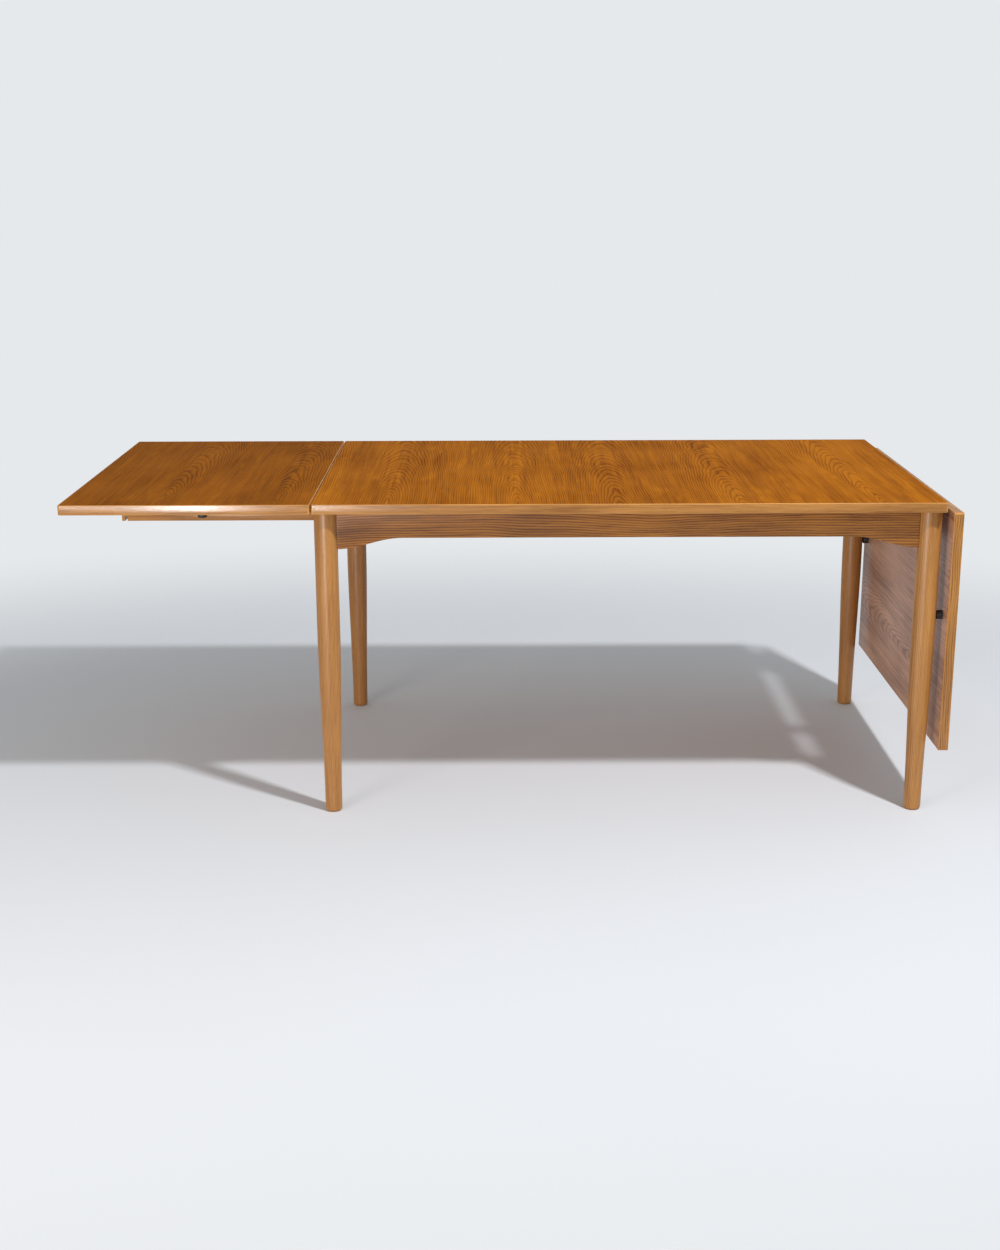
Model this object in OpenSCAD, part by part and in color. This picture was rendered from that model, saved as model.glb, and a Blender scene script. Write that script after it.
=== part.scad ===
// Drop leaf dining table in oak: a fixed main top on four turned legs, with a hinged
// leaf at each short end carried by two pull-out supports. The left leaf is raised on
// its drawn-out supports and the right leaf hangs down with its supports pushed home.
// X runs along the table, Y from front to back, Z up. The origin is on the floor,
// below the middle of the table as it stands with one leaf up.

/* [Top] */
// Length of the fixed main top
top_len = 1380; // [1200:10:1600]
// Depth of the top and of both leaves
top_dep = 870; // [800:10:1000]
// Height of the top surface above the floor
top_h = 720; // [700:5:760]
// Thickness of the top and of both leaves
top_t = 22; // [20:1:26]
// Width of the solid oak lipping round every board
lip_w = 10; // [6:1:16]
// Radius of the upright corners of every board
corner_r = 5; // [2:1:8]

/* [Leaves] */
// Length of each leaf, from its hinged edge to its free edge
leaf_len = 545; // [450:5:580]
// Gap between the main top and a raised leaf
leaf_gap = 2.5; // [2:0.5:4]

/* [Legs] */
// Radius of a leg where it meets the aprons
leg_r = 25.5; // [24:0.5:30]
// Radius of a leg just above its foot
foot_r = 19; // [16:0.5:22]
// Height over which a leg tapers
taper_h = 430; // [300:10:500]
// Radius of the rounding under the foot
foot_round = 6; // [3:0.5:8]
// Distance from the end of the main top to a leg's centre
leg_in_x = 27; // [26:1:40]
// Distance from the long edge of the top to a leg's centre
leg_in_y = 44; // [40:1:60]

/* [Aprons and rails] */
// Thickness of the two long aprons
apron_t = 24; // [20:1:26]
// How far an apron's outer face stands in front of the leg centres
apron_out = 10; // [10:1:18]
// Depth of an apron along its straight middle
apron_mid = 59; // [50:1:70]
// Depth of an apron beside the legs
apron_end = 84; // [75:1:100]
// Length over which an apron deepens towards a leg
apron_run = 145; // [100:5:200]
// Thickness of the end rails
rail_t = 22; // [18:1:24]
// Depth of the end rails
rail_dep = 84; // [75:1:100]
// Thickness of the inner bearer rails
bearer_t = 20; // [16:1:24]
// Depth of the inner bearer rails
bearer_dep = 55; // [45:1:59]
// Distance from the end of the main top to a bearer's outer face
bearer_in = 180; // [160:5:200]

/* [Supports] */
// Width of a pull-out leaf support
sup_w = 24; // [20:1:28]
// Height of a pull-out leaf support
sup_h = 27; // [24:1:32]
// Length of a pull-out leaf support
sup_len = 650; // [600:10:660]
// Distance from the long edge of the top to a support's outer side
sup_in_y = 74; // [72:1:90]
// How far a drawn-out support reaches past the end of the main top
sup_reach = 425; // [380:5:430]
// How far a pushed-in support stands back from the end of the main top
sup_home = 5; // [2:1:15]

/* [Hinges and bumpers] */
// Distance of the hinge pin beyond the end of the main top
pin_out = 8; // [7:0.5:9]
// Distance of the hinge pin below the underside of the top
pin_drop = 5.5; // [5.5:0.5:6]
// Distance of each hinge from the table's centre line
hinge_y = 230; // [150:10:280]
// Diameter of a rubber bumper
bumper_d = 20; // [16:1:24]
// Height of a rubber bumper
bumper_h = 14.6; // [12:0.2:15]
// Distance from a leaf's hinged edge to its bumpers
bumper_x = 240; // [200:5:300]
// Distance from the long edge of a leaf to its bumpers
bumper_in_y = 47; // [30:1:56]

/* [Hidden] */
$fn = 64;
eps = 0.01;

oak_veneer = "#B4742E";
oak_solid = "#C48C50";
oak_leg = "#BC8140";
beech = "#D2A679";
brass = "#B9975B";
steel = "#A8A9AB";
rubber = "#1D1C1B";

under_z = top_h - top_t;
// Middle of the main top, so that the whole table is centred with one leaf up
top_x = (leaf_gap + leaf_len - pin_out - pin_drop - top_t) / 2;
leg_x = top_len / 2 - leg_in_x;
leg_y = top_dep / 2 - leg_in_y;
pin_z = under_z - pin_drop;

// Hinge: two plates of hinge_l, knuckles of knuckle_l and a pin
hinge_l = 60;
knuckle_l = hinge_l / 5;
knuckle_r = 4.2;
knuckle_gap = 0.4;
pin_r = 1.5;
pin_clear = 0.05;
plate_t = 2;
plate_crank = 0.6;
fixed_plate_w = 24;
leaf_plate_from = 4.8;
leaf_plate_w = 29;
fixed_screw_x = -21;
leaf_screw_x = 22;
screw_pitch = 20;
screw_r = 1.8;
screw_len = 14;
head_r = 3.4;
head_h = 1.7;

// Tenons: apron and end rail into a leg, bearer rail into an apron
tenon_t = 10;
tenon_deep = 10;
apron_tenon_y = 3;
apron_tenon_z = [20, 70];
rail_tenon_x = 9;
rail_tenon_z = [40, 76];
bearer_tenon_z = [15, 45];
mortise_spare = 1;

// End rails stand rail_out outside the leg centres
rail_out = 2;

// Supports run in open notches, with a little play
sup_top_play = 0.4;
sup_side_play = 0.5;
notch_dep = sup_top_play + sup_h + 0.4;
sup_y = top_dep / 2 - sup_in_y - sup_w / 2;
groove_at = 7;
groove_w = 5;
groove_dep = 9;
stop_r = 4;
stop_drop = 14;
stop_play = 1;

// Corner blocks, below the supports
block_top = 50;
block_t = 24;
block_long = 78;
block_wide = 60;
block_cut = [34, 24];
block_leg_gap = 1;
block_screw_x = 62;
block_screw_y = 48;
block_seat_y = 20;
block_seat_x = 32;

// Round-headed wood screws that hold blocks and rails
wood_screw_r = 2;
wood_head_r = 4;
wood_head_h = 3;
wood_bite = 12;
seat_r = 5;
rail_screw_ys = [-180, 0, 180];
rail_screw_wood = 25;
rail_screw_bite = 14;

// Bumper details
bumper_round = 3;
bumper_seat_r = 5;
bumper_seat_dep = 8;
bumper_head_r = 3.5;
bumper_head_h = 2.5;
bumper_bite = 12;

// ---------------------------------------------------------------- shared shapes

// Board with rounded upright corners, lying on z = 0
module rounded_board(len, dep, t) {
    inner_l = len - 2 * corner_r;
    inner_d = dep - 2 * corner_r;
    linear_extrude(height = t) {
        square([len, inner_d], center = true);
        square([inner_l, dep], center = true);
        for (sx = [-1, 1], sy = [-1, 1])
            translate([sx * inner_l / 2, sy * inner_d / 2]) circle(r = corner_r);
    }
}

// Plain board inside the lipping
module core_board(len, dep, t) {
    translate([-len / 2 + lip_w, -dep / 2 + lip_w, 0])
        cube([len - 2 * lip_w, dep - 2 * lip_w, t]);
}

// Mitred area that one strip of lipping takes along the front of a board
module mitre_wedge(len, dep, t) {
    translate([0, -dep / 2, 0])
        linear_extrude(height = t)
            polygon([[-len / 2, 0], [len / 2, 0], [len / 2 - lip_w, lip_w],
                     [-len / 2 + lip_w, lip_w]]);
}

// Four mitred strips of lipping round a board
module lipping_strips(len, dep, t) {
    for (turn = [0, 90, 180, 270]) {
        along = turn % 180 == 0 ? len : dep;
        across = turn % 180 == 0 ? dep : len;
        intersection() {
            rounded_board(len, dep, t);
            rotate([0, 0, turn]) mitre_wedge(along, across, t);
        }
    }
}

// Puts a leaf drawn about its hinge pin, lying level towards +X, in its place:
// the left leaf raised, the right leaf hanging
module leaf_place(side) {
    translate([top_x + side * (top_len / 2 + pin_out), 0, pin_z])
        if (side < 0) mirror([1, 0, 0]) children();
        else rotate([0, 90, 0]) children();
}

// Puts a fixture drawn about the right hinge pin at either end of the main top
module end_place(side) {
    translate([top_x + side * (top_len / 2 + pin_out), 0, pin_z])
        mirror([side < 0 ? 1 : 0, 0, 0]) children();
}

// Puts a shape drawn in a leg's corner, with +X and +Y pointing inwards, in a corner
module corner_place(sx, sy) {
    translate([top_x + sx * leg_x, sy * leg_y, under_z])
        mirror([sx > 0 ? 1 : 0, 0, 0]) mirror([0, sy > 0 ? 1 : 0, 0]) children();
}

// Both hinge places along an end
module both_hinges() {
    for (sy = [-1, 1]) translate([0, sy * hinge_y, 0]) children();
}

// Countersunk screw pointing up, with its head's flat face at z = 0
module sunk_screw(len) {
    cylinder(r1 = head_r, r2 = screw_r, h = head_h);
    cylinder(r = screw_r, h = len);
}

// Pan-headed wood screw pointing up, with its head seated at z = 0
module wood_screw(len) {
    translate([0, 0, -wood_head_h]) cylinder(r = wood_head_r, h = wood_head_h);
    cylinder(r = wood_screw_r, h = len);
}

// ---------------------------------------------------------------- main top

module fixed_screw_pilots() {
    for (side = [-1, 1]) end_place(side) both_hinges()
        for (k = [-1, 0, 1])
            translate([fixed_screw_x, k * screw_pitch, 0])
                cylinder(r = screw_r, h = pin_drop - plate_t + screw_len);
}

// Centre lines of the rails that are screwed up to the top
rail_xs = [
    for (side = [-1, 1])
        for (inset = [leg_in_x - rail_out + rail_t / 2, bearer_in + bearer_t / 2])
            side * (top_len / 2 - inset)
];

module top_panel() {
    color(oak_veneer) difference() {
        translate([top_x, 0, under_z]) core_board(top_len, top_dep, top_t);
        fixed_screw_pilots();
        for (x = rail_xs, y = rail_screw_ys)
            translate([top_x + x, y, under_z - eps])
                cylinder(r = wood_screw_r, h = rail_screw_bite + eps);
    }
}

module top_lipping() {
    color(oak_solid) difference() {
        translate([top_x, 0, under_z]) lipping_strips(top_len, top_dep, top_t);
        translate([top_x, 0, under_z]) core_board(top_len, top_dep, top_t);
    }
}

module top_fixing_screws() {
    color(steel)
        for (x = rail_xs, y = rail_screw_ys)
            translate([top_x + x, y, under_z - rail_screw_wood])
                wood_screw(rail_screw_wood + rail_screw_bite);
}

// ---------------------------------------------------------------- legs

taper_steps = 16;
foot_steps = 6;

function eased(u) = (1 - cos(180 * u)) / 2;
function leg_radius(z) = leg_r - (leg_r - foot_r) * eased(max(0, 1 - z / taper_h));

leg_profile = concat(
    [[0, 0]],
    [for (i = [0:foot_steps])
        let (a = 90 * i / foot_steps)
            [foot_r - foot_round + foot_round * sin(a), foot_round - foot_round * cos(a)]],
    [for (i = [1:taper_steps])
        let (z = foot_round + (taper_h - foot_round) * i / taper_steps)
            [leg_radius(z), z]],
    [[leg_r, under_z], [0, under_z]]
);

// Turned leg with a mortise for its apron and one for its end rail
module leg(sx, sy) {
    color(oak_leg) difference() {
        translate([top_x + sx * leg_x, sy * leg_y, 0]) rotate_extrude() polygon(leg_profile);
        corner_place(sx, sy) {
            translate([tenon_deep, -apron_tenon_y - tenon_t / 2, -apron_tenon_z[1]])
                cube([leg_r, tenon_t, apron_tenon_z[1] - apron_tenon_z[0]]);
            translate([rail_tenon_x - tenon_t / 2, tenon_deep, -rail_tenon_z[1]])
                cube([tenon_t, leg_r, rail_tenon_z[1] - rail_tenon_z[0]]);
        }
    }
}

// ---------------------------------------------------------------- aprons and rails

curve_steps = 14;
curve_from = leg_x - sqrt(leg_r * leg_r - apron_out * apron_out);

function apron_depth(x) =
    apron_mid + (apron_end - apron_mid) * eased(max(0, min(1,
        (abs(x) - curve_from + apron_run) / apron_run)));

apron_outline = concat(
    [[leg_x, 0], [-leg_x, 0], [-leg_x, -apron_end]],
    [for (i = [0:curve_steps])
        let (x = -curve_from + apron_run * i / curve_steps) [x, -apron_depth(x)]],
    [for (i = [curve_steps:-1:0])
        let (x = curve_from - apron_run * i / curve_steps) [x, -apron_depth(x)]],
    [[leg_x, -apron_end]]
);

// Long apron, coped round both legs and tenoned into them; sy is -1 at the front
module apron(sy) {
    color(oak_solid) difference() {
        union() {
            difference() {
                translate([top_x, sy * (leg_y + apron_out - apron_t / 2) + apron_t / 2, under_z])
                    rotate([90, 0, 0]) linear_extrude(height = apron_t) polygon(apron_outline);
                for (sx = [-1, 1])
                    translate([top_x + sx * leg_x, sy * leg_y, 0]) cylinder(r = leg_r, h = top_h);
            }
            for (sx = [-1, 1]) corner_place(sx, sy)
                translate([tenon_deep + mortise_spare, -apron_tenon_y - tenon_t / 2,
                           -apron_tenon_z[1]])
                    cube([leg_r, tenon_t, apron_tenon_z[1] - apron_tenon_z[0]]);
        }
        for (sx = [-1, 1]) {
            bearer_mortise(sx, sy);
            corner_place(sx, sy) apron_block_screw_hole();
        }
    }
}

module bearer_mortise(sx, sy) {
    inner = leg_y + apron_out - apron_t;
    translate([top_x + sx * (top_len / 2 - bearer_in - bearer_t / 2) - tenon_t / 2,
               sy > 0 ? inner - eps : -inner - tenon_deep + eps, under_z - bearer_tenon_z[1]])
        cube([tenon_t, tenon_deep, bearer_tenon_z[1] - bearer_tenon_z[0]]);
}

// Open notches in a rail's top edge for the two supports that run through it
module support_notches(x, t) {
    for (sy = [-1, 1])
        translate([x - t, sy * sup_y - sup_w / 2 - sup_side_play, under_z - notch_dep])
            cube([2 * t, sup_w + 2 * sup_side_play, notch_dep + 1]);
}

// Clearance holes and screw seats up through a rail
module rail_screw_holes(x, dep) {
    for (y = rail_screw_ys) translate([x, y, under_z - dep - 1]) {
        cylinder(r = wood_screw_r, h = dep + 2);
        cylinder(r = seat_r, h = dep + 1 - rail_screw_wood);
    }
}

// End rail between a front and a back leg
module end_rail(side) {
    x = top_x + side * (leg_x + rail_out - rail_t / 2);
    color(oak_solid) difference() {
        union() {
            difference() {
                translate([x - rail_t / 2, -leg_y, under_z - rail_dep])
                    cube([rail_t, 2 * leg_y, rail_dep]);
                for (sy = [-1, 1])
                    translate([top_x + side * leg_x, sy * leg_y, 0])
                        cylinder(r = leg_r, h = top_h);
            }
            for (sy = [-1, 1]) corner_place(side, sy)
                translate([rail_tenon_x - tenon_t / 2, tenon_deep + mortise_spare,
                           -rail_tenon_z[1]])
                    cube([tenon_t, leg_r, rail_tenon_z[1] - rail_tenon_z[0]]);
        }
        support_notches(x, rail_t);
        rail_screw_holes(x, rail_dep);
        for (sy = [-1, 1]) corner_place(side, sy) rail_block_screw_hole();
    }
}

// Inner rail that carries the supports' inner ends and stops their pins
module bearer_rail(side) {
    x = top_x + side * (top_len / 2 - bearer_in - bearer_t / 2);
    half = leg_y + apron_out - apron_t;
    tenon_h = bearer_tenon_z[1] - bearer_tenon_z[0];
    color(beech) difference() {
        union() {
            translate([x - bearer_t / 2, -half, under_z - bearer_dep])
                cube([bearer_t, 2 * half, bearer_dep]);
            translate([x - tenon_t / 2, -half - tenon_deep + mortise_spare,
                       under_z - bearer_tenon_z[1]])
                cube([tenon_t, 2 * (half + tenon_deep - mortise_spare), tenon_h]);
        }
        support_notches(x, bearer_t);
        rail_screw_holes(x, bearer_dep);
    }
}

// ---------------------------------------------------------------- corner blocks

// Level of the corner blocks' screws below the top's underside
block_mid = block_top + block_t / 2;

module apron_block_screw_hole() {
    translate([block_screw_x, block_seat_y, -block_mid])
        rotate([90, 0, 0]) cylinder(r = wood_screw_r, h = block_seat_y - apron_inner() + wood_bite);
}

module rail_block_screw_hole() {
    translate([block_seat_x, block_screw_y, -block_mid])
        rotate([0, -90, 0]) cylinder(r = wood_screw_r, h = block_seat_x - rail_inner() + wood_bite);
}

// Inner faces of the apron and of the end rail, measured inwards from a leg's centre
function apron_inner() = apron_t - apron_out;
function rail_inner() = rail_t - rail_out;

module corner_block() {
    difference() {
        translate([0, 0, -block_top - block_t])
            linear_extrude(height = block_t)
                polygon([[rail_inner(), apron_inner()], [block_long, apron_inner()],
                         [block_long, block_cut[1]], [block_cut[0], block_wide],
                         [rail_inner(), block_wide]]);
        translate([0, 0, -rail_dep]) cylinder(r = leg_r + block_leg_gap, h = rail_dep);
        apron_block_screw_hole();
        rail_block_screw_hole();
        translate([block_screw_x, block_long, -block_mid])
            rotate([90, 0, 0]) cylinder(r = seat_r, h = block_long - block_seat_y);
        translate([block_long, block_screw_y, -block_mid])
            rotate([0, -90, 0]) cylinder(r = seat_r, h = block_long - block_seat_x);
    }
}

module corner_blocks() {
    color(beech) for (sx = [-1, 1], sy = [-1, 1]) corner_place(sx, sy) corner_block();
}

module corner_block_screws() {
    color(steel) for (sx = [-1, 1], sy = [-1, 1]) corner_place(sx, sy) {
        translate([block_screw_x, block_seat_y, -block_mid])
            rotate([90, 0, 0]) wood_screw(block_seat_y - apron_inner() + wood_bite);
        translate([block_seat_x, block_screw_y, -block_mid])
            rotate([0, -90, 0]) wood_screw(block_seat_x - rail_inner() + wood_bite);
    }
}

// ---------------------------------------------------------------- hinges

// Screw holes with countersinks through a plate's screw line
module plate_holes(x) {
    for (k = [-1, 0, 1]) translate([x, k * screw_pitch, pin_drop - plate_t]) {
        translate([0, 0, -1]) cylinder(r = screw_r, h = plate_t + 2);
        cylinder(r1 = head_r, r2 = screw_r, h = head_h);
    }
}

// Knuckles numbered along the hinge from -2 to 2
module knuckles(numbers, toward, bore) {
    short = knuckle_l - knuckle_gap;
    for (k = numbers) translate([0, k * knuckle_l, 0]) difference() {
        union() {
            rotate([90, 0, 0]) cylinder(r = knuckle_r, h = short, center = true);
            translate([toward < 0 ? -fixed_plate_w / 2 : 0, -short / 2,
                       pin_drop - plate_t - plate_crank])
                cube([fixed_plate_w / 2, short, plate_t]);
        }
        rotate([90, 0, 0]) cylinder(r = bore, h = knuckle_l, center = true);
    }
}

module fixed_hinge_plates(side) {
    color(brass) end_place(side) both_hinges() {
        difference() {
            translate([-pin_out - fixed_plate_w, -hinge_l / 2, pin_drop - plate_t])
                cube([fixed_plate_w, hinge_l, plate_t]);
            plate_holes(fixed_screw_x);
        }
        knuckles([-2, 0, 2], -1, pin_r);
    }
}

module hinge_pins(side) {
    color(steel) end_place(side) both_hinges()
        rotate([90, 0, 0]) cylinder(r = pin_r, h = hinge_l, center = true);
}

module fixed_hinge_screws(side) {
    color(brass) end_place(side) both_hinges()
        for (k = [-1, 0, 1])
            translate([fixed_screw_x, k * screw_pitch, pin_drop - plate_t]) sunk_screw(screw_len);
}

module leaf_hinge_plates(side) {
    color(brass) leaf_place(side) both_hinges() {
        difference() {
            translate([leaf_plate_from, -hinge_l / 2, pin_drop - plate_t])
                cube([leaf_plate_w, hinge_l, plate_t]);
            plate_holes(leaf_screw_x);
        }
        knuckles([-1, 1], 1, pin_r + pin_clear);
    }
}

module leaf_hinge_screws(side) {
    color(brass) leaf_place(side) both_hinges()
        for (k = [-1, 0, 1])
            translate([leaf_screw_x, k * screw_pitch, pin_drop - plate_t]) sunk_screw(screw_len);
}

// ---------------------------------------------------------------- leaves

leaf_mid = leaf_gap - pin_out + leaf_len / 2;

module leaf_screw_pilots() {
    both_hinges() for (k = [-1, 0, 1])
        translate([leaf_screw_x, k * screw_pitch, 0])
            cylinder(r = screw_r, h = pin_drop - plate_t + screw_len);
    bumper_places() translate([0, 0, -eps]) cylinder(r = screw_r, h = bumper_bite + eps);
}

module leaf_panel(side) {
    color(oak_veneer) leaf_place(side) difference() {
        translate([leaf_mid, 0, pin_drop]) core_board(leaf_len, top_dep, top_t);
        leaf_screw_pilots();
    }
}

module leaf_lipping(side) {
    color(oak_solid) leaf_place(side) translate([leaf_mid, 0, pin_drop]) difference() {
        lipping_strips(leaf_len, top_dep, top_t);
        core_board(leaf_len, top_dep, top_t);
    }
}

// Both bumper places on a leaf's underside
module bumper_places() {
    for (sy = [-1, 1])
        translate([leaf_gap - pin_out + bumper_x, sy * (top_dep / 2 - bumper_in_y), pin_drop])
            children();
}

module leaf_bumpers(side) {
    r = bumper_d / 2;
    color(rubber) leaf_place(side) bumper_places() difference() {
        union() {
            translate([0, 0, -bumper_h + bumper_round]) cylinder(r = r, h = bumper_h - bumper_round);
            translate([0, 0, -bumper_h])
                cylinder(r1 = r - bumper_round, r2 = r, h = bumper_round);
        }
        translate([0, 0, -bumper_h - 1]) cylinder(r = screw_r, h = bumper_h + 2);
        translate([0, 0, -bumper_h - 1]) cylinder(r = bumper_seat_r, h = bumper_seat_dep + 1);
    }
}

module leaf_bumper_screws(side) {
    color(steel) leaf_place(side) bumper_places()
        translate([0, 0, -bumper_h + bumper_seat_dep]) {
            translate([0, 0, -bumper_head_h]) cylinder(r = bumper_head_r, h = bumper_head_h);
            cylinder(r = screw_r, h = bumper_h - bumper_seat_dep + bumper_bite);
        }
}

// ---------------------------------------------------------------- supports

// Outer end of a support from the middle of the main top
function support_end(side) = top_len / 2 + (side < 0 ? sup_reach : -sup_home);
// Stop pin's centre from the outer end, so that it meets the bearer when drawn out
stop_from_end = sup_reach + bearer_in + bearer_t + stop_r + stop_play;

// Puts a support drawn from its outer end at x = 0 back along -X, top face at z = 0
module support_place(side, sy) {
    translate([top_x + side * support_end(side), sy * sup_y, under_z - sup_top_play])
        mirror([side < 0 ? 1 : 0, 0, 0]) children();
}

module support(side, sy) {
    color(oak_solid) support_place(side, sy) difference() {
        translate([-sup_len, -sup_w / 2, -sup_h]) cube([sup_len, sup_w, sup_h]);
        translate([-groove_at - groove_w, -sup_w, -sup_h - 1])
            cube([groove_w, 2 * sup_w, groove_dep + 1]);
        translate([-stop_from_end, 0, -sup_h - 1]) cylinder(r = stop_r, h = sup_h - 1);
    }
}

module stop_pin(side, sy) {
    color(beech) support_place(side, sy)
        translate([-stop_from_end, 0, -sup_h - stop_drop])
            cylinder(r = stop_r, h = sup_h - 2 + stop_drop);
}

// ---------------------------------------------------------------- nodes

top_panel();
top_lipping();
leg(-1, -1);  // front_left_leg
leg(1, -1);  // front_right_leg
leg(-1, 1);  // back_left_leg
leg(1, 1);  // back_right_leg
apron(-1);  // front_apron
apron(1);  // back_apron
end_rail(-1);  // left_end_rail
end_rail(1);  // right_end_rail
bearer_rail(-1);  // left_bearer_rail
bearer_rail(1);  // right_bearer_rail
corner_blocks();
corner_block_screws();
top_fixing_screws();
fixed_hinge_plates(-1);  // left_fixed_hinge_plates
hinge_pins(-1);  // left_hinge_pins
fixed_hinge_screws(-1);  // left_fixed_hinge_screws
fixed_hinge_plates(1);  // right_fixed_hinge_plates
hinge_pins(1);  // right_hinge_pins
fixed_hinge_screws(1);  // right_fixed_hinge_screws
leaf_panel(-1);  // left_leaf_panel
leaf_lipping(-1);  // left_leaf_lipping
leaf_hinge_plates(-1);  // left_leaf_hinge_plates
leaf_hinge_screws(-1);  // left_leaf_hinge_screws
leaf_bumpers(-1);  // left_leaf_bumpers
leaf_bumper_screws(-1);  // left_leaf_bumper_screws
leaf_panel(1);  // right_leaf_panel
leaf_lipping(1);  // right_leaf_lipping
leaf_hinge_plates(1);  // right_leaf_hinge_plates
leaf_hinge_screws(1);  // right_leaf_hinge_screws
leaf_bumpers(1);  // right_leaf_bumpers
leaf_bumper_screws(1);  // right_leaf_bumper_screws
support(-1, -1);  // left_front_support
stop_pin(-1, -1);  // left_front_stop_pin
support(-1, 1);  // left_back_support
stop_pin(-1, 1);  // left_back_stop_pin
support(1, -1);  // right_front_support
stop_pin(1, -1);  // right_front_stop_pin
support(1, 1);  // right_back_support
stop_pin(1, 1);  // right_back_stop_pin
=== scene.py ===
"""Drop leaf dining table in oiled oak: looks, floor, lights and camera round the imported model.

Boards are veneered in crown-cut oak with the grain running from front to back, and lipped
in solid oak. Aprons, rails, supports and legs are solid oak, hinges are brass and the
bumpers are rubber. Everything is in metres, in the model's own frame.
"""

from math import cos, pi, radians, sin

import bmesh
import bpy
from mathutils import Matrix, Vector


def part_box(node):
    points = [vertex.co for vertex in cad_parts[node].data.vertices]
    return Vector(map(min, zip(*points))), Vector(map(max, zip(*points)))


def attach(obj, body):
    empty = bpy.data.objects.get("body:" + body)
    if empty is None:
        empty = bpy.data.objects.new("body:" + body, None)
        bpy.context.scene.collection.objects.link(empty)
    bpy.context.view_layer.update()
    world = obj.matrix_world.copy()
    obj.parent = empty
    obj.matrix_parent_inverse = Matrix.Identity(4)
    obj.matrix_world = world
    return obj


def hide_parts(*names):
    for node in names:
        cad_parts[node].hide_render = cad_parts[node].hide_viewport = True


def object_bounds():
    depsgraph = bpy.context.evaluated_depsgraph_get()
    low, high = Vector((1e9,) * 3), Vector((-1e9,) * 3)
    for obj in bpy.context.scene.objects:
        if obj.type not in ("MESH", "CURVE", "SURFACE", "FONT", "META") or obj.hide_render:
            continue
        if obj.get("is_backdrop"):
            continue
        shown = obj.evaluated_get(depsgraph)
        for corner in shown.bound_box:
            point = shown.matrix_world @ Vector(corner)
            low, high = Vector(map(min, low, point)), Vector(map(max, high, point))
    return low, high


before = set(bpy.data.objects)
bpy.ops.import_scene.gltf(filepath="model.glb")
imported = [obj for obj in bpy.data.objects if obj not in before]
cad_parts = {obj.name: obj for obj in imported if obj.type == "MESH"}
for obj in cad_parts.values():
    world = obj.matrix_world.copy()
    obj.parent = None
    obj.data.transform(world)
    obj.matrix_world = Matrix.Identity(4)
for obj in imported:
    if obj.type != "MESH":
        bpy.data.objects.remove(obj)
cad_low, cad_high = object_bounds()
MM = 0.001

# ------------------------------------------------------------------ materials


def linear(hex_colour):
    """sRGB hex such as "B4742E" to a linear RGBA colour."""
    srgb = [int(hex_colour[i : i + 2], 16) / 255 for i in (0, 2, 4)]
    rgb = [c / 12.92 if c <= 0.04045 else ((c + 0.055) / 1.055) ** 2.4 for c in srgb]
    return (*rgb, 1.0)


def add_node(tree, kind, *inputs, named=None, **settings):
    """Adds a node with its settings. Inputs are values or links, in the node's own order or under
    their names. A node given as a link stands for its first output."""
    made = tree.nodes.new(kind)
    for name, value in settings.items():
        setattr(made, name, value)
    for place, value in [*enumerate(inputs), *(named or {}).items()]:
        if isinstance(value, bpy.types.Node):
            value = value.outputs[0]
        if isinstance(value, bpy.types.NodeSocket):
            tree.links.new(value, made.inputs[place])
        else:
            made.inputs[place].default_value = value
    return made


MATH = "ShaderNodeMath"
# Pores are dark only where their pattern rises above a level, and flecks likewise.
PORE_GAIN, PORE_LEVEL = 6.0, -3.35
FLECK_GAIN, FLECK_LEVEL = 7.0, -4.2
# How far the growth rings wander, as a multiple of the wander given, and how unevenly they grow.
WANDER_REACH, UNEVEN_GROWTH = 5, 1.1
# Brightness along one ring: its line starts sharply, and fades over half the ring.
RING_START, RING_END = 0.15, 0.25
RING_STEPS = ((0.10, 1.0), (0.22, 0.75), (0.5, 0.12), (0.88, 0.0))


def new_material(name):
    material = bpy.data.materials.new(name)
    material.use_nodes = True
    material.node_tree.nodes.clear()
    return material, material.node_tree


def finish_material(tree, named, **settings):
    """Ends a material in one shader with the given inputs."""
    shader = add_node(tree, "ShaderNodeBsdfPrincipled", named=named, **settings)
    add_node(tree, "ShaderNodeOutputMaterial", shader)


def position(tree, axes="XYZ"):
    """Object position split into its parts, in the order that axes gives."""
    place = add_node(tree, "ShaderNodeTexCoord").outputs["Object"]
    split = add_node(tree, "ShaderNodeSeparateXYZ", place)
    return [split.outputs[axis] for axis in axes]


def mottle(tree, parts, size, shift=0.0, detail=2.0, rough=0.5):
    """An uneven pattern from 0 to 1, whose spots have the given size along each part."""
    joined = add_node(tree, "ShaderNodeCombineXYZ", *parts)
    scaled = add_node(tree, "ShaderNodeMapping", named={
        "Vector": joined, "Location": (shift,) * 3, "Scale": [1 / length for length in size]})
    return add_node(tree, "ShaderNodeTexNoise", named={
        "Vector": scaled, "Scale": 1.0, "Detail": detail, "Roughness": rough}).outputs["Fac"]


def grain(tree, parts, width, length, shift=0.0, detail=2.0, rough=0.5):
    """A mottle with spots as wide and as long as given, along the second part."""
    return mottle(tree, parts, (width, length, width), shift, detail, rough)


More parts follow.
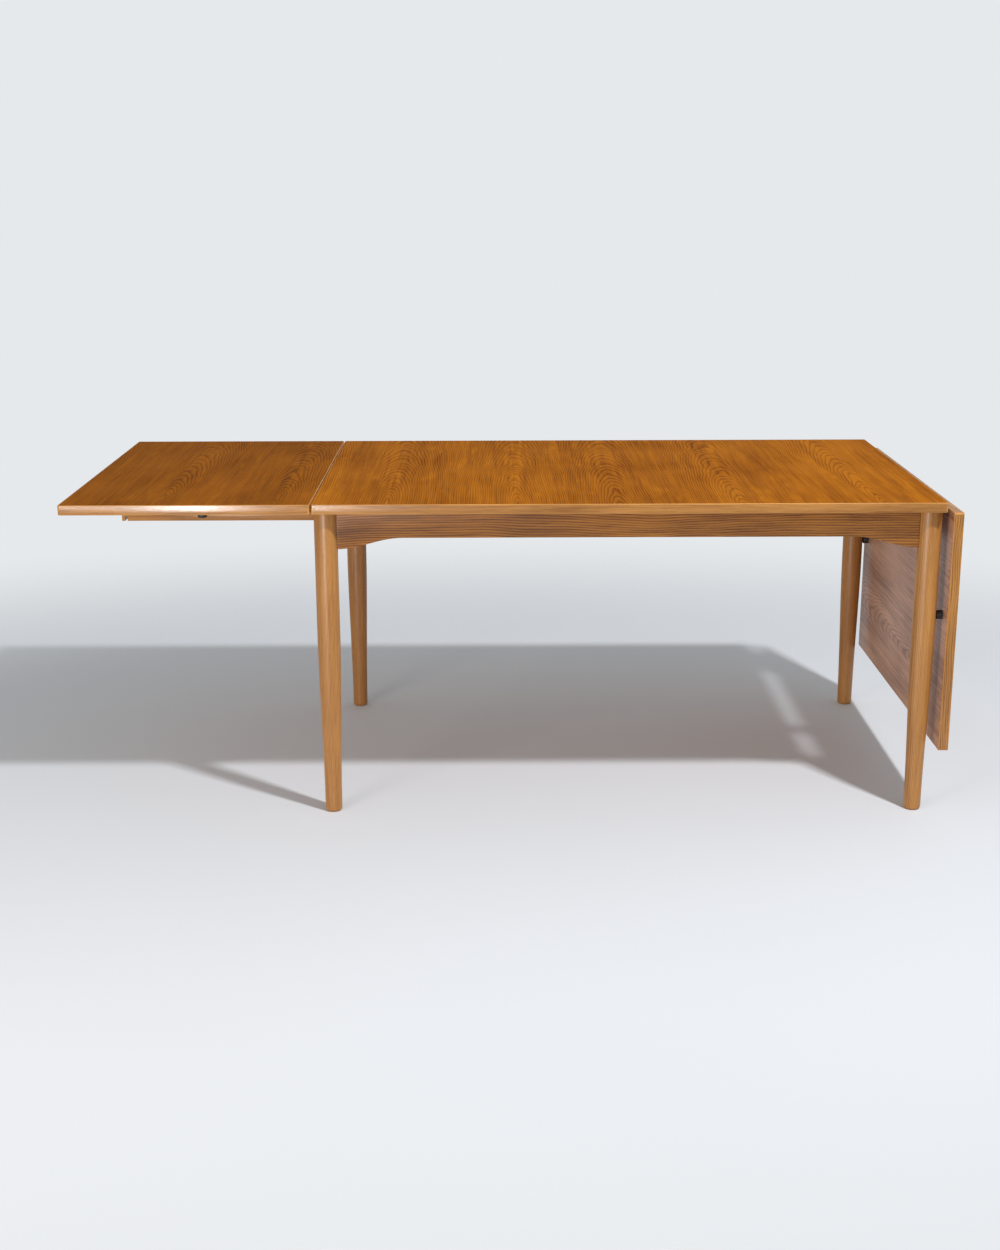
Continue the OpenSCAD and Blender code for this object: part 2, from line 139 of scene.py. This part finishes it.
def growth_rings(tree, parts, ring, pith, leaf, taper, wander):
    """How much spring wood there is at a point, and the tone of its board or veneer leaf. Rings
    lie round a pith that runs along the grain, so flat-sawn faces show arches and quartered
    ones straight lines."""
    side, along, through = parts
    # The rings wander a few millimetres over a hand's length.
    sway = add_node(tree, MATH, grain(tree, parts, 294 * MM, 588 * MM), 0.5,
                    operation="SUBTRACT")
    waver = add_node(tree, MATH, grain(tree, parts, 500 * MM, 182 * MM, 3.1, 1.0), 0.5,
                     operation="SUBTRACT")
    depth = add_node(tree, MATH, along, taper, through, operation="MULTIPLY_ADD")
    depth = add_node(tree, MATH, depth, pith[1], operation="SUBTRACT")
    if leaf:
        # Each veneer leaf is cut from the next slice of the same flitch.
        width, start = leaf
        from_start = add_node(tree, MATH, side, start, operation="SUBTRACT")
        count = add_node(tree, MATH, from_start, width, operation="DIVIDE")
        number = add_node(tree, MATH, count, operation="FLOOR")
        within = add_node(tree, MATH, count, number, operation="SUBTRACT")
        local = add_node(tree, MATH, within, width, -width / 2, operation="MULTIPLY_ADD")
        chance = add_node(tree, "ShaderNodeTexWhiteNoise", named={"W": number},
                          noise_dimensions="1D").outputs["Value"]
        nudge = add_node(tree, MATH, chance, LEAF_NUDGE, -LEAF_NUDGE / 2,
                         operation="MULTIPLY_ADD")
        local = add_node(tree, MATH, local, nudge, operation="ADD")
        depth = add_node(tree, MATH, chance, LEAF_STEP, depth, operation="MULTIPLY_ADD")
        tone = chance
    else:
        local = add_node(tree, MATH, side, pith[0], operation="SUBTRACT")
        tone = grain(tree, parts, 250 * MM, 1250 * MM, 7.7)
    reach = WANDER_REACH * wander
    local = add_node(tree, MATH, sway, reach, local, operation="MULTIPLY_ADD")
    depth = add_node(tree, MATH, waver, reach, depth, operation="MULTIPLY_ADD")
    squared = add_node(tree, MATH, depth, depth, operation="MULTIPLY")
    squared = add_node(tree, MATH, local, local, squared, operation="MULTIPLY_ADD")
    radius = add_node(tree, MATH, squared, operation="SQRT")
    turns = add_node(tree, MATH, radius, ring, operation="DIVIDE")
    uneven = grain(tree, parts, 33 * MM, 200 * MM, 1.3, 1.0)
    turns = add_node(tree, MATH, uneven, UNEVEN_GROWTH, turns, operation="MULTIPLY_ADD")
    phase = add_node(tree, MATH, turns, operation="FRACT")
    spring = add_node(tree, "ShaderNodeValToRGB", phase)
    first, last = spring.color_ramp.elements
    first.position, first.color = 0.0, (RING_START,) * 3 + (1,)
    last.position, last.color = 1.0, (RING_END,) * 3 + (1,)
    for place, value in RING_STEPS:
        spring.color_ramp.elements.new(place).color = (value,) * 3 + (1,)
    return spring, tone


def oak(name, axes, pale, deep, ring, pith, leaf=None, taper=0.0, wander=6 * MM, line=0.5,
        rough=0.42, specular=0.5, streaky=1.0, flecks=0.0, short=1.0):
    """Oak, or beech with faint rings. The axes are those across the board, along its grain and
    through it. Colours run from pale to deep, short cuts the streaks shorter, and streaky and
    line set how strongly streaks and rings show. Long open pores sit in the spring wood and
    catch the oil, which makes them the darkest marks."""
    material, tree = new_material(name)
    parts = position(tree, axes)
    spring, tone = growth_rings(tree, parts, ring, pith, leaf, taper, wander)

    # Pores are about 0.3 mm wide and 4 to 15 mm long; drawn 0.6 mm wide so that they show.
    pores = grain(tree, parts, 0.6 * MM, 13 * MM, 5.0, 1.0)
    pores = add_node(tree, MATH, pores, PORE_GAIN, PORE_LEVEL, operation="MULTIPLY_ADD",
                     use_clamp=True)
    share = add_node(tree, MATH, spring, 0.8, 0.2, operation="MULTIPLY_ADD")
    pores = add_node(tree, MATH, pores, share, operation="MULTIPLY")
    # Fibres, streaks, broad bands where the oil took differently, and clouds.
    fibres = grain(tree, parts, 1.6 * MM, 110 * MM / short, 2.0, 3.0, 0.6)
    streaks = grain(tree, parts, 6 * MM, 290 * MM / short, 6.0, 3.0, 0.6)
    bands = grain(tree, parts, 30 * MM, 625 * MM, 4.0)
    cloud = grain(tree, parts, 110 * MM, 200 * MM, 8.0)

    mark = add_node(tree, MATH, spring, line, operation="MULTIPLY")
    for pattern, weight in ((fibres, 0.9), (streaks, 1.5), (bands, 1.0), (cloud, 0.8),
                            (tone, 0.25)):
        swing = add_node(tree, MATH, pattern, 0.5, operation="SUBTRACT")
        mark = add_node(tree, MATH, swing, weight * streaky, mark, operation="MULTIPLY_ADD")
    mark = add_node(tree, MATH, pores, 0.5, mark, operation="MULTIPLY_ADD")
    if flecks:
        # Where the knife ran along the rays, the wood shines paler in patches a hand long.
        patch = grain(tree, parts, 38 * MM, 200 * MM, 9.0)
        patch = add_node(tree, MATH, patch, FLECK_GAIN, FLECK_LEVEL, operation="MULTIPLY_ADD",
                         use_clamp=True)
        mark = add_node(tree, MATH, patch, -flecks, mark, operation="MULTIPLY_ADD")
    mark = add_node(tree, MATH, mark, 0.25, operation="ADD", use_clamp=True)
    colour = add_node(tree, "ShaderNodeMix", mark, named={6: linear(pale), 7: linear(deep)},
                      data_type="RGBA").outputs[2]

    relief = add_node(tree, MATH, fibres, 0.35, operation="MULTIPLY")
    relief = add_node(tree, MATH, pores, -1.0, relief, operation="MULTIPLY_ADD")
    bump = add_node(tree, "ShaderNodeBump", named={
        "Strength": 0.22, "Distance": 0.25 * MM, "Height": relief})
    gloss = add_node(tree, MATH, cloud, 0.10, rough - 0.05, operation="MULTIPLY_ADD")
    gloss = add_node(tree, MATH, pores, 0.18, gloss, operation="MULTIPLY_ADD")
    finish_material(tree, {"IOR": 1.5, "Specular IOR Level": specular, "Base Color": colour,
                           "Roughness": gloss, "Normal": bump})
    return material


DULLING = 0.22


def metal(name, colour, rough, streak):
    """Brushed or plated metal: fine scratches vary its gloss, and handling dulls it in patches."""
    material, tree = new_material(name)
    parts = position(tree)
    scratch = grain(tree, parts, 0.45 * MM, 11 * MM)
    dull = mottle(tree, parts, [17 * MM] * 3, 2.0, 3.0)
    least = rough - DULLING / 2 - streak / 2
    gloss = add_node(tree, MATH, dull, DULLING, least, operation="MULTIPLY_ADD")
    gloss = add_node(tree, MATH, scratch, streak, gloss, operation="MULTIPLY_ADD")
    bright, worn = colour
    tint = add_node(tree, "ShaderNodeMix", dull, named={6: linear(bright), 7: linear(worn)},
                    data_type="RGBA").outputs[2]
    bump = add_node(tree, "ShaderNodeBump", named={
        "Strength": 0.1, "Distance": 0.05 * MM, "Height": scratch})
    finish_material(tree, {"Metallic": 1.0, "Base Color": tint, "Roughness": gloss,
                           "Normal": bump})
    return material


def black_rubber():
    """Moulded rubber: nearly black and matt, with a fine grain and a little grey bloom."""
    material, tree = new_material("moulded_black_rubber")
    parts = position(tree)
    texture = mottle(tree, parts, [0.7 * MM] * 3, detail=3.0)
    bloom = mottle(tree, parts, [7.7 * MM] * 3, 1.0)
    tint = add_node(tree, "ShaderNodeMix", bloom,
                    named={6: linear("161413"), 7: linear("2B2826")},
                    data_type="RGBA").outputs[2]
    gloss = add_node(tree, MATH, bloom, 0.15, 0.55, operation="MULTIPLY_ADD")
    bump = add_node(tree, "ShaderNodeBump", named={
        "Strength": 0.25, "Distance": 0.1 * MM, "Height": texture})
    finish_material(tree, {"IOR": 1.5, "Base Color": tint, "Roughness": gloss, "Normal": bump})
    return material


top_low, top_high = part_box("top_lipping")
TOP_LEFT, TABLE_TOP = top_low.x, top_high.z
leaf_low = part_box("right_leaf_lipping")[0]
# The veneer's leaves are 262 mm wide. From leaf to leaf the figure shifts sideways and deeper
# by up to so much, and its pith lies below the face.
LEAF_WIDTH, LEAF_NUDGE, LEAF_STEP = 262 * MM, 50 * MM, 16 * MM
FIRST_LEAF, PITH_DEPTH = 36 * MM, 42 * MM

# Crown-cut veneer, warm brown under oil, with rings 5 mm apart at the sides. Its faces were
# rubbed matt, so they reflect next to nothing.
VENEER = dict(ring=5.0 * MM, taper=0.1, wander=4.5 * MM, flecks=0.35)
OILED = dict(rough=0.5, specular=0.01, streaky=0.72, line=0.5, **VENEER)
FLAT = dict(axes="XYZ", leaf=(LEAF_WIDTH, TOP_LEFT + FIRST_LEAF),
            pith=(0, TABLE_TOP - PITH_DEPTH))
HANGING = dict(axes="ZYX", leaf=(LEAF_WIDTH, leaf_low.z), pith=(0, leaf_low.x - PITH_DEPTH))
veneer = oak("oiled_oak_veneer_of_the_top", pale="BA6F0E", deep="6E3503", **OILED, **FLAT)
# The leaves take darker colours than the top: painted shade, since the leaves lie further from the
# light.
PAINTED_SHADE_OF_LEAVES = dict(pale="A35E08", deep="5C2C03")
veneer_left_painted_shade = oak("oiled_oak_veneer_of_the_left_leaf_with_painted_shade", **PAINTED_SHADE_OF_LEAVES, **OILED, **FLAT)
veneer_right_painted_shade = oak("oiled_oak_veneer_of_the_right_leaf_with_painted_shade", **PAINTED_SHADE_OF_LEAVES, **OILED, **HANGING)
# The hidden faces were only sealed. Their pale grey-mauve colours are a painted reflection of the
# pale surroundings.
SEALED_WITH_PAINTED_SHEEN = dict(pale="D6A586", deep="865B43", line=0.46, rough=0.36, streaky=0.95, **VENEER)
under_flat_painted_sheen = oak("sealed_oak_veneer_of_the_undersides_with_painted_sheen", **SEALED_WITH_PAINTED_SHEEN, **FLAT)
under_hanging_painted_sheen = oak("sealed_oak_veneer_of_the_right_leaf_with_painted_sheen", **SEALED_WITH_PAINTED_SHEEN, **HANGING)
# Solid lipping was wiped over with hard oil, and has a sheen.
LIPPING = dict(pale="C08746", deep="7C4C1C", ring=2.6 * MM, wander=3 * MM, line=0.5,
               streaky=0.95, rough=0.2, short=2.2)
lipping_x = oak("oiled_oak_lipping_grain_along", "ZXY", pith=(-0.2, -0.9), **LIPPING)
lipping_y = oak("oiled_oak_lipping_grain_across", "XYZ", pith=(0.9, 0.3), **LIPPING)
lipping_z = oak("oiled_oak_lipping_grain_upright", "XZY", pith=(1.4, 0.3), **LIPPING)
# The rounded corners of the boards are coloured paler than the lipping: a painted highlight, where
# the arrises catch the light.
arris_painted_highlight_oak = oak("oak_of_the_board_arrises_with_painted_highlight", "ZXY", "CF9650", "A66C2E", 2.6 * MM,
                 (0.9, -0.2), wander=3 * MM, line=0.3, rough=0.4, specular=0.25)
# Aprons and rails are quartered stock with straight lines, satin under oil.
RAIL = dict(pale="B9782C", deep="5E310D", ring=5.2 * MM, line=0.7, streaky=0.8, rough=0.36,
            specular=0.4, short=2.0)
apron_oak = oak("oiled_oak_apron_quartered", "ZXY", pith=(-0.6, -0.9), wander=8 * MM, **RAIL)
rail_oak = oak("oiled_oak_end_rail", "XYZ", pith=(0.5, 0.2), wander=6 * MM, **RAIL)
# The pith lies far off to one side, so the legs show straight lines from the front.
leg_oak = oak("oiled_oak_turned_leg", "XZY", "C48B4A", "83501E", 3.0 * MM, (4.0, 0.0),
              wander=1.5 * MM, line=0.4, rough=0.34, specular=0.42, streaky=0.6, short=2.0)
beech = oak("planed_beech_unfinished", "XYZ", "D9B184", "BC8C5B", 2.2 * MM, (0.4, 0.2),
            wander=4 * MM, line=0.25, rough=0.6)
brass = metal("brushed_brass_slightly_dulled", ("C7A15A", "A07C40"), 0.36, 0.2)
steel = metal("zinc_plated_steel", ("B4B6B8", "8F9194"), 0.34, 0.15)
rubber = black_rubber()

# ------------------------------------------------------------------ making pieces

SAME_POINT, ALIGNED = 0.01 * MM, 0.1 * MM


def finish_piece(name, shape, materials, body, nodes, smooth=30):
    """Turns a bmesh into a shaded object that rides on a body and stands for CAD nodes."""
    mesh = bpy.data.meshes.new(name)
    for material in materials:
        mesh.materials.append(material)
    shape.to_mesh(mesh)
    shape.free()
    piece = bpy.data.objects.new(name, mesh)
    bpy.context.scene.collection.objects.link(piece)
    mesh.shade_smooth()
    mesh.set_sharp_from_angle(angle=radians(smooth))
    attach(piece, body)
    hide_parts(*nodes)


def soften(shape, edges, width, segments=2):
    """Rounds edges over, as sandpaper does."""
    bmesh.ops.bevel(shape, geom=edges, offset=width, offset_type="OFFSET", affect="EDGES",
                    segments=segments, profile=0.5, material=-1, clamp_overlap=True)


def from_cad(node):
    """A clean copy of a CAD node's mesh, with its flat faces whole."""
    shape = bmesh.new()
    shape.from_mesh(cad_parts[node].data)
    bmesh.ops.remove_doubles(shape, verts=shape.verts, dist=SAME_POINT)
    bmesh.ops.dissolve_limit(shape, angle_limit=radians(0.5), verts=shape.verts,
                             edges=shape.edges)
    return shape


def sharp_edges(shape, least=40):
    """Outer corners steeper than so many degrees."""
    return [e for e in shape.edges
            if len(e.link_faces) == 2 and e.is_convex and e.calc_face_angle(0) > radians(least)]


def softened_node(node, name, material, body, width, keep=lambda edge: True):
    """A CAD node with the edges that a maker would have sanded rounded over."""
    shape = from_cad(node)
    soften(shape, [e for e in sharp_edges(shape) if keep(e)], width)
    finish_piece(name, shape, [material], body, [node])


def edge_middle(edge):
    return (edge.verts[0].co + edge.verts[1].co) / 2


def edge_run(edge):
    """How far an edge reaches along each axis."""
    return [abs(reach) for reach in edge.verts[1].co - edge.verts[0].co]


# ------------------------------------------------------------------ boards

ARRIS, RIM = 1.6 * MM, 6 * MM
# The materials of a lipping, in their order on the piece. The last is the arris oak, whose paler
# colour is a painted highlight.
SHOWN, ALONG, ACROSS, UNDER, ARRIS_HIGHLIGHT = range(5)


def board_parts(panel_node, lip_node, name, body, thick_axis, outer, hidden):
    """A veneered panel and the mitred lipping round it. The veneer runs over the lipping on
    both faces, so only the edges show solid wood."""
    shape = from_cad(lip_node)
    low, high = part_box(lip_node)
    in_plane = [axis for axis in range(3) if axis != thick_axis]

    def outside(edge):
        """On the outer rim, away from the joint between lipping and panel."""
        here = edge_middle(edge)
        return min(min(here[i] - low[i], high[i] - here[i]) for i in in_plane) < RIM

    soften(shape, [e for e in sharp_edges(shape, 60) if outside(e)], ARRIS, 3)
    for face in shape.faces:
        facing = [abs(part) for part in face.normal]
        # Bevelled faces take the arris oak, whose paler colour is a painted highlight.
        if max(facing) < 0.99:
            face.material_index = ARRIS_HIGHLIGHT
        elif facing[thick_axis] > 0.5:
            face.material_index = SHOWN if face.normal[thick_axis] > 0 else UNDER
        else:
            face.material_index = ALONG if facing[1] > 0.5 else ACROSS
    along_front = lipping_x if thick_axis == 2 else lipping_z
    finish_piece(name + "_lipping", shape,
                 [outer, along_front, lipping_y, hidden, arris_painted_highlight_oak], body,
                 [lip_node])
    panel = from_cad(panel_node)
    for face in panel.faces:
        face.material_index = 0 if face.normal[thick_axis] > 0.5 else 1
    finish_piece(name + "_panel", panel, [outer, hidden], body, [panel_node])


board_parts("top_panel", "top_lipping", "main_top", "table_frame", 2, veneer, under_flat_painted_sheen)
board_parts("left_leaf_panel", "left_leaf_lipping", "left_leaf_board", "left_leaf", 2,
            veneer_left_painted_shade, under_flat_painted_sheen)
board_parts("right_leaf_panel", "right_leaf_lipping", "right_leaf_board", "right_leaf", 0,
            veneer_right_painted_shade, under_hanging_painted_sheen)

# ------------------------------------------------------------------ legs

LEG_TOP_R, LEG_FOOT_R, TAPER, FOOT_ROUND = 25.5 * MM, 19 * MM, 430 * MM, 6 * MM
RINGS_OF_FOOT, RINGS_OF_TAPER, TURN_STEPS = 6, 28, 72


def leg_profile(height):
    """Half outline of a turned leg, from the middle of its foot to the middle of its top."""
    outline = [(0.0, 0.0)]
    for i in range(RINGS_OF_FOOT + 1):
        a = pi / 2 * i / RINGS_OF_FOOT
        outline.append((LEG_FOOT_R - FOOT_ROUND + FOOT_ROUND * sin(a),
                        FOOT_ROUND - FOOT_ROUND * cos(a)))
    for i in range(1, RINGS_OF_TAPER + 1):
        z = FOOT_ROUND + (TAPER - FOOT_ROUND) * i / RINGS_OF_TAPER
        ease = (1 - cos(pi * (1 - z / TAPER))) / 2
        outline.append((LEG_TOP_R - (LEG_TOP_R - LEG_FOOT_R) * ease, z))
    return outline + [(LEG_TOP_R, height), (0.0, height)]


def spun(outline, centre, steps):
    """A shape turned on an upright axis through centre from a half outline."""
    shape = bmesh.new()
    verts = [shape.verts.new((centre.x + r, centre.y, centre.z + z)) for r, z in outline]
    edges = [shape.edges.new(pair) for pair in zip(verts, verts[1:])]
    bmesh.ops.spin(shape, geom=verts + edges, cent=centre, axis=(0, 0, 1), dvec=(0, 0, 0),
                   angle=2 * pi, steps=steps, use_merge=True, use_duplicate=False)
    bmesh.ops.remove_doubles(shape, verts=shape.verts, dist=SAME_POINT)
    bmesh.ops.recalc_face_normals(shape, faces=shape.faces)
    return shape


for corner in ("front_left", "front_right", "back_left", "back_right"):
    low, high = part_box(corner + "_leg")
    foot = Vector(((low.x + high.x) / 2, (low.y + high.y) / 2, low.z))
    finish_piece(corner + "_turned_leg", spun(leg_profile(high.z - low.z), foot, TURN_STEPS),
                 [leg_oak], "table_frame", [corner + "_leg"], 40)

# ------------------------------------------------------------------ bumpers

BUMPER_R, BUMPER_SEAT_R, BUMPER_BORE_R = 10 * MM, 5 * MM, 1.8 * MM
BUMPER_ROUND, BUMPER_LIP, BUMPER_FLOOR = 3 * MM, 0.5 * MM, 6.6 * MM
STEPS_OF_ROUND, STEPS_OF_LIP, BUMPER_STEPS = 6, 3, 40


def bumper_outline(height):
    """Closed half outline of a moulded bumper, with a sunk seat for its screw."""
    outline = [(BUMPER_BORE_R, 0.0), (BUMPER_R, 0.0)]
    for i in range(STEPS_OF_ROUND + 1):
        a = pi / 2 * i / STEPS_OF_ROUND
        outline.append((BUMPER_R - BUMPER_ROUND + BUMPER_ROUND * cos(a),
                        height - BUMPER_ROUND + BUMPER_ROUND * sin(a)))
    for i in range(STEPS_OF_LIP + 1):
        a = pi / 2 * i / STEPS_OF_LIP
        outline.append((BUMPER_SEAT_R + BUMPER_LIP - BUMPER_LIP * sin(a),
                        height - BUMPER_LIP + BUMPER_LIP * cos(a)))
    return outline + [(BUMPER_SEAT_R, BUMPER_FLOOR), (BUMPER_BORE_R, BUMPER_FLOOR)]


def moulded_bumpers(side, outwards):
    """Two bumpers on a leaf's hidden face, standing out along the outwards direction."""
    low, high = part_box(side + "_leaf_bumpers")
    out = Vector(outwards)
    height = abs((high - low).dot(out))
    seat = (low + high) / 2 - out * height / 2
    shape = bmesh.new()
    for y in (low.y + BUMPER_R, high.y - BUMPER_R):
        verts = [shape.verts.new((r, 0, h)) for r, h in bumper_outline(height)]
        edges = [shape.edges.new(pair) for pair in zip(verts, verts[1:] + verts[:1])]
        bmesh.ops.spin(shape, geom=verts + edges, cent=(0, 0, 0), axis=(0, 0, 1), dvec=(0, 0, 0),
                       angle=2 * pi, steps=BUMPER_STEPS, use_merge=True,
                       use_duplicate=False)
        fresh = [v for v in shape.verts if not v.tag]
        turn = out.to_track_quat("Z", "Y").to_matrix().to_4x4()
        bmesh.ops.transform(shape, verts=fresh,
                            matrix=Matrix.Translation((seat.x, y, seat.z)) @ turn)
        for vert in fresh:
            vert.tag = True
    bmesh.ops.remove_doubles(shape, verts=shape.verts, dist=SAME_POINT)
    bmesh.ops.recalc_face_normals(shape, faces=shape.faces)
    finish_piece(side + "_moulded_bumpers", shape, [rubber], side + "_leaf",
                 [side + "_leaf_bumpers"], 40)


moulded_bumpers("left", (0, 0, -1))
moulded_bumpers("right", (-1, 0, 0))

# ------------------------------------------------------------------ aprons, rails, supports

under_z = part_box("front_apron")[1].z
COPE_DEPTH = 14 * MM  # the aprons' ends are coped this far round the legs
GROOVE, HAND_ROUND, RAIL_ROUND, SUPPORT_ROUND = 3 * MM, 1.5 * MM, 0.8 * MM, 0.9 * MM
# Below the first, an apron's edge is part of its cope. Only a rail's long edges pass the second.
LEAST_RUN, LONG_RUN = 2 * MM, 300 * MM


def is_low(edge):
    """Whether an edge lies below the underside of the top, where a hand can reach it."""
    return edge_middle(edge).z < under_z - 2 * MM


def is_low_and_long(edge):
    """Whether it is one of a rail's bottom edges from front to back, and not a notch's."""
    return is_low(edge) and edge_run(edge)[1] > LONG_RUN


def curved_apron(side):
    """An apron with a soft bottom edge, and a small groove where it meets each leg."""
    low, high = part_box(side + "_apron")
    mid_x, reach = (low.x + high.x) / 2, (high.x - low.x) / 2 - COPE_DEPTH
    outer_y = low.y if side == "front" else high.y

    def meets_leg(edge):
        """The upright outer corners where the apron's ends come round the legs."""
        here = edge_middle(edge)
        at_leg = abs(here.x - mid_x) > reach and abs(here.y - outer_y) < ALIGNED
        return at_leg and edge_run(edge)[0] < ALIGNED

    def along_bottom(edge):
        """The bottom edges, but not the cope round the leg."""
        between = abs(edge_middle(edge).x - mid_x) < reach
        return between and is_low(edge) and edge_run(edge)[0] > LEAST_RUN

    shape = from_cad(side + "_apron")
    soften(shape, [e for e in sharp_edges(shape) if meets_leg(e)], GROOVE)
    soften(shape, [e for e in sharp_edges(shape) if along_bottom(e)], HAND_ROUND)
    finish_piece(side + "_curved_apron", shape, [apron_oak], "table_frame",
                 [side + "_apron"])


for side in ("front", "back"):
    curved_apron(side)

for side in ("left", "right"):
    softened_node(side + "_end_rail", side + "_notched_end_rail", rail_oak, "table_frame",
                  RAIL_ROUND, is_low_and_long)
    softened_node(side + "_bearer_rail", side + "_notched_bearer_rail", beech, "table_frame",
                  RAIL_ROUND, is_low_and_long)
    for end in ("front", "back"):
        name = side + "_" + end
        softened_node(name + "_support", name + "_pull_out_support", lipping_x,
                      name + "_slide", SUPPORT_ROUND)

# Small parts keep their own shapes and take a finish.
for node, material in (
    ("corner_blocks", beech), ("corner_block_screws", steel), ("top_fixing_screws", steel),
    ("left_front_stop_pin", beech), ("left_back_stop_pin", beech),
    ("right_front_stop_pin", beech), ("right_back_stop_pin", beech),
    ("left_fixed_hinge_plates", brass), ("right_fixed_hinge_plates", brass),
    ("left_hinge_pins", steel), ("right_hinge_pins", steel),
    ("left_fixed_hinge_screws", brass), ("right_fixed_hinge_screws", brass),
    ("left_leaf_hinge_plates", brass), ("right_leaf_hinge_plates", brass),
    ("left_leaf_hinge_screws", brass), ("right_leaf_hinge_screws", brass),
    ("left_leaf_bumper_screws", steel), ("right_leaf_bumper_screws", steel),
):
    for material_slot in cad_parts[node].material_slots:
        material_slot.material = material

# ------------------------------------------------------------------ floor, lights and camera

# The floor is whole up to the first distance and gone at the second, in metres. It fades
# sooner towards the back than towards the sides.
FLOOR_CLEAR, FLOOR_GONE, FLOOR_SPREAD = 1.3, 3.4, (0.9, 1.3, 1.0)
PATCH_SIZE = 1.7


def stage_floor():
    """Pale seamless studio floor, which fades into the backdrop."""
    material, tree = new_material("matt_white_studio_floor")
    place = add_node(tree, "ShaderNodeTexCoord").outputs["Object"]
    patch = mottle(tree, position(tree), [PATCH_SIZE] * 3)
    tint = add_node(tree, "ShaderNodeMix", patch,
                    named={6: linear("E3E6E9"), 7: linear("DDE1E4")},
                    data_type="RGBA").outputs[2]
    matt = add_node(tree, "ShaderNodeBsdfPrincipled", named={
        "Roughness": 0.75, "IOR": 1.4, "Base Color": tint})
    spread = add_node(tree, "ShaderNodeMapping", named={"Vector": place, "Scale": FLOOR_SPREAD})
    away = add_node(tree, "ShaderNodeVectorMath", spread, operation="LENGTH").outputs["Value"]
    fade = add_node(tree, "ShaderNodeMapRange", named={
        "Value": away, "From Min": FLOOR_CLEAR, "From Max": FLOOR_GONE},
        interpolation_type="SMOOTHSTEP")
    clear = add_node(tree, "ShaderNodeBsdfTransparent")
    mixed = add_node(tree, "ShaderNodeMixShader", fade, matt, clear)
    add_node(tree, "ShaderNodeOutputMaterial", mixed)
    shape = bmesh.new()
    bmesh.ops.create_circle(shape, cap_ends=True, segments=96, radius=FLOOR_GONE)
    mesh = bpy.data.meshes.new("studio_floor")
    shape.to_mesh(mesh)
    shape.free()
    mesh.materials.append(material)
    floor = bpy.data.objects.new("studio_floor", mesh)
    bpy.context.scene.collection.objects.link(floor)
    floor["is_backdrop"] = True


def studio_world():
    """Pale backdrop all round. It looks brighter than the light it sheds on the table."""
    world = bpy.data.worlds.new("studio_surround")
    world.use_nodes = True
    tree = world.node_tree
    tree.nodes.clear()
    seen = add_node(tree, "ShaderNodeBackground", linear("E6E9EC"), 1.0)
    shed = add_node(tree, "ShaderNodeBackground", linear("EEF1F4"), 0.5)
    path = add_node(tree, "ShaderNodeLightPath").outputs["Is Camera Ray"]
    mixed = add_node(tree, "ShaderNodeMixShader", path, shed, seen)
    add_node(tree, "ShaderNodeOutputWorld", mixed)
    bpy.context.scene.world = world


def area_light(name, place, target, size, watts, colour):
    """A lamp in a soft box, as wide and as high as size says."""
    light = bpy.data.lights.new(name, "AREA")
    light.shape, light.energy = "RECTANGLE", watts
    light.size, light.size_y = size
    light.color = linear(colour)[:3]
    lamp = bpy.data.objects.new(name, light)
    lamp.location = place
    lamp.rotation_euler = (Vector(target) - Vector(place)).to_track_quat("-Z", "Y").to_euler()
    lamp.visible_camera = False
    bpy.context.scene.collection.objects.link(lamp)
    return lamp


stage_floor()
studio_world()
middle = (cad_low + cad_high) / 2
area_light("key_light", (2.0, -2.33, 4.37), (-0.5, 0.9, 0.3), (0.3, 0.3), 182, "FAFBFF")
area_light("low_left_softbox", (-2.1, -3.0, 0.8), middle, (1.1, 1.1), 38, "FFF2E4")
# A tall strip that only shows as a highlight on the legs and the front edges.
strip = area_light("highlight_strip", (-1.22, -3.4, 0.6), (-0.6, -0.4, 0.6), (0.24, 1.3), 66,
                   "FFFFFF")
strip.visible_diffuse = False
bpy.context.scene.view_settings.view_transform = "Standard"

# The camera stands in front of the table and a little to the left of its middle, 1.43 m up.
EYE = Vector((-0.0286, -4.023, 1.4316))
PITCH, TILT, TURN = radians(15.304), radians(0.17), radians(0.055)
forward = Vector((sin(TURN) * cos(PITCH), cos(TURN) * cos(PITCH), -sin(PITCH)))
level = Vector((cos(TURN), -sin(TURN), 0))
down = forward.cross(level)
right = cos(TILT) * level + sin(TILT) * down
up = sin(TILT) * level - cos(TILT) * down
camera_data = bpy.data.cameras.new("camera")
camera_data.lens = 48.66
camera_data.clip_start, camera_data.clip_end = 0.1, 200
camera = bpy.data.objects.new("camera", camera_data)
camera.matrix_world = Matrix.Translation(EYE) @ Matrix(
    ((right.x, up.x, -forward.x), (right.y, up.y, -forward.y), (right.z, up.z, -forward.z))
).to_4x4()
bpy.context.scene.collection.objects.link(camera)
bpy.context.scene.camera = camera

low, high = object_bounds()
